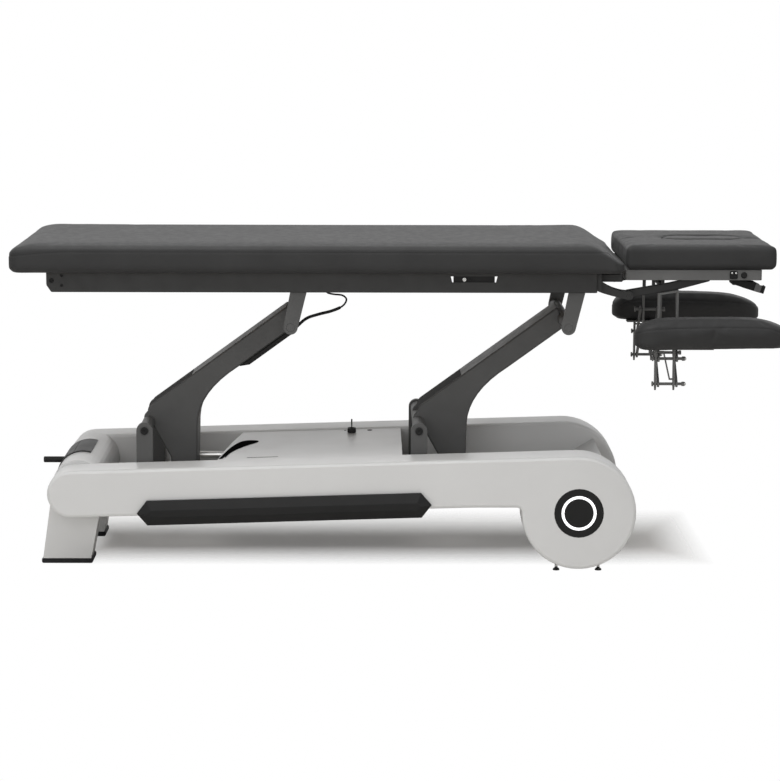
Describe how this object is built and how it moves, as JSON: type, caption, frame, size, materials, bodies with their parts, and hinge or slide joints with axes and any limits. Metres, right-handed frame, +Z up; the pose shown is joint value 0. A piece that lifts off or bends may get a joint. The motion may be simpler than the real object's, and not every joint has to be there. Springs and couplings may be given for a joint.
{
  "type": "massage table",
  "caption": "Electric height-adjustable treatment table with padded top, tilting headrest with face slot, armrests on links, and a moulded base with foot bars.",
  "frame": {"origin": "centre of the part's footprint, on the floor", "axes": "+X along the table towards the headrest, +Y towards the far side, +Z up"},
  "size_m": [2.0699, 0.7552, 0.8783],
  "materials": {
    "shell": "smooth light grey moulding, satin",
    "dark_steel": "dark grey powder coat, fine texture",
    "grey_steel": "mid grey powder coat",
    "bright_steel": "bright turned steel",
    "black_plastic": "matt black moulding",
    "rubber": "matt black rubber",
    "upholstery": "dark grey coated upholstery, fine grain, satin",
    "lamp": "white light ring",
    "board": "plain plywood, hidden under the upholstery"
  },
  "bodies": {
    "base": {"side_beam_near": "shell", "side_beam_far": "shell", "lamp_disc_near": "black_plastic", "lamp_disc_far": "black_plastic", "lamp_ring_near": "lamp", "lamp_ring_far": "lamp", "end_housing": "shell", "foot_pad_near": "rubber", "foot_pad_far": "rubber", "hood_panel_lower": "grey_steel", "hood_panel_upper": "grey_steel", "chassis": "dark_steel", "pivot_stand_foot": "dark_steel", "pivot_stand_head": "dark_steel", "centre_cover": "shell", "head_tray": "shell", "switch_base": "black_plastic", "drive_housing": "black_plastic"},
    "lift_arm_foot": {"lift_arm_foot": "dark_steel", "cable_duct": "black_plastic"},
    "lift_arm_head": {"lift_arm_head": "dark_steel"},
    "top_frame": {"rail_near": "dark_steel", "rail_far": "dark_steel", "cross_member_foot_end": "dark_steel", "cross_member_foot": "dark_steel", "cross_member_head": "dark_steel", "hanger_foot_near": "dark_steel", "hanger_foot_far": "dark_steel", "hanger_head_near": "dark_steel", "hanger_head_far": "dark_steel", "main_board": "board", "main_cushion": "upholstery", "head_brackets": "dark_steel", "lock_screw": "bright_steel", "lead_clip": "black_plastic", "lift_lead": "rubber"},
    "drive_rod": {"drive_rod": "bright_steel"},
    "headrest": {"headrest_arms": "dark_steel", "headrest_frame": "grey_steel", "headrest_cushion": "upholstery", "latch_block": "black_plastic", "latch_knob": "black_plastic", "release_ears": "dark_steel", "arm_bracket_near": "dark_steel", "arm_bracket_far": "dark_steel"},
    "face_plug": {"face_plug": "upholstery"},
    "release_lever": {"release_lever": "black_plastic"},
    "arm_link_upper_near": {"arm_link_upper_near": "grey_steel"},
    "arm_link_lower_near": {"arm_link_lower_near": "grey_steel"},
    "armrest_near": {"arm_carrier_near": "grey_steel", "arm_pad_near": "upholstery"},
    "foot_bar_near": {"foot_bar_near": "black_plastic"},
    "arm_link_upper_far": {"arm_link_upper_far": "grey_steel"},
    "arm_link_lower_far": {"arm_link_lower_far": "grey_steel"},
    "armrest_far": {"arm_carrier_far": "grey_steel", "arm_pad_far": "upholstery"},
    "foot_bar_far": {"foot_bar_far": "black_plastic"},
    "floor_lever": {"floor_lever": "black_plastic"},
    "switch_rod": {"switch_rod": "black_plastic"}
  },
  "joints": [
    {"name": "lift", "type": "hinge", "parent": "base", "child": "lift_arm_foot", "pos_m": [-0.689, 0, 0.363], "axis": [0, -1, 0], "range_deg": [-36, 18]},
    {"name": "lift_head", "type": "hinge", "parent": "base", "child": "lift_arm_head", "pos_m": [0.052, 0, 0.363], "axis": [0, -1, 0], "range_deg": [-36, 18]},
    {"name": "table_level", "type": "hinge", "parent": "lift_arm_foot", "child": "top_frame", "pos_m": [-0.29258, 0, 0.65102], "axis": [0, -1, 0], "range_deg": [-18, 36], "deforming": ["lift_lead"]},
    {"name": "drive", "type": "slide", "parent": "base", "child": "drive_rod", "axis": [1, 0, 0], "range_m": [-0.08, 0.04]},
    {"name": "headrest_tilt", "type": "hinge", "parent": "top_frame", "child": "headrest", "pos_m": [0.6105, 0, 0.735], "axis": [0, -1, 0], "range_deg": [-25, 3]},
    {"name": "face_plug_lift", "type": "slide", "parent": "headrest", "child": "face_plug", "axis": [0, 0, 1], "range_m": [0, 0.09]},
    {"name": "release_squeeze", "type": "hinge", "parent": "headrest", "child": "release_lever", "pos_m": [0.897, -0.17, 0.7665], "axis": [0, -1, 0], "range_deg": [0, 8], "stiffness_Nm_per_rad": 1.5, "springref_deg": -5.73},
    {"name": "armrest_raise_near", "type": "hinge", "parent": "headrest", "child": "arm_link_upper_near", "pos_m": [0.6875, -0.2, 0.645], "axis": [-1, 0, 0], "range_deg": [0, 45]},
    {"name": "armrest_lower_link_near", "type": "hinge", "parent": "headrest", "child": "arm_link_lower_near", "pos_m": [0.6875, -0.2, 0.577], "axis": [-1, 0, 0], "range_deg": [0, 45]},
    {"name": "armrest_level_near", "type": "hinge", "parent": "arm_link_upper_near", "child": "armrest_near", "pos_m": [0.6875, -0.282, 0.572], "axis": [-1, 0, 0], "range_deg": [-45, 0]},
    {"name": "foot_bar_press_near", "type": "slide", "parent": "base", "child": "foot_bar_near", "axis": [0, 0, 1], "range_m": [-0.004, 0.004], "stiffness_N_per_m": 4000, "springref_m": 0.0025},
    {"name": "armrest_raise_far", "type": "hinge", "parent": "headrest", "child": "arm_link_upper_far", "pos_m": [0.6875, 0.2, 0.645], "axis": [1, 0, 0], "range_deg": [0, 45]},
    {"name": "armrest_lower_link_far", "type": "hinge", "parent": "headrest", "child": "arm_link_lower_far", "pos_m": [0.6875, 0.2, 0.577], "axis": [1, 0, 0], "range_deg": [0, 45]},
    {"name": "armrest_level_far", "type": "hinge", "parent": "arm_link_upper_far", "child": "armrest_far", "pos_m": [0.6875, 0.282, 0.572], "axis": [1, 0, 0], "range_deg": [-45, 0]},
    {"name": "foot_bar_press_far", "type": "slide", "parent": "base", "child": "foot_bar_far", "axis": [0, 0, 1], "range_m": [-0.004, 0.004], "stiffness_N_per_m": 4000, "springref_m": 0.0025},
    {"name": "floor_lever_turn", "type": "hinge", "parent": "base", "child": "floor_lever", "pos_m": [-0.899, -0.06, 0.232], "axis": [0, 1, 0], "range_deg": [-20, 6]},
    {"name": "switch_tilt", "type": "hinge", "parent": "base", "child": "switch_rod", "pos_m": [-0.1325, 0.165, 0.3035], "axis": [0, 1, 0], "range_deg": [-12, 12], "stiffness_Nm_per_rad": 0.02}
  ],
  "couplings": [
    {"joint": "lift_head", "follows": "lift", "ratio": 1},
    {"joint": "table_level", "follows": "lift", "ratio": -1},
    {"joint": "drive", "follows": "lift", "m_per_rad": 0.126},
    {"joint": "armrest_lower_link_near", "follows": "armrest_raise_near", "ratio": 1},
    {"joint": "armrest_level_near", "follows": "armrest_raise_near", "ratio": -1},
    {"joint": "armrest_lower_link_far", "follows": "armrest_raise_far", "ratio": 1},
    {"joint": "armrest_level_far", "follows": "armrest_raise_far", "ratio": -1}
  ]
}
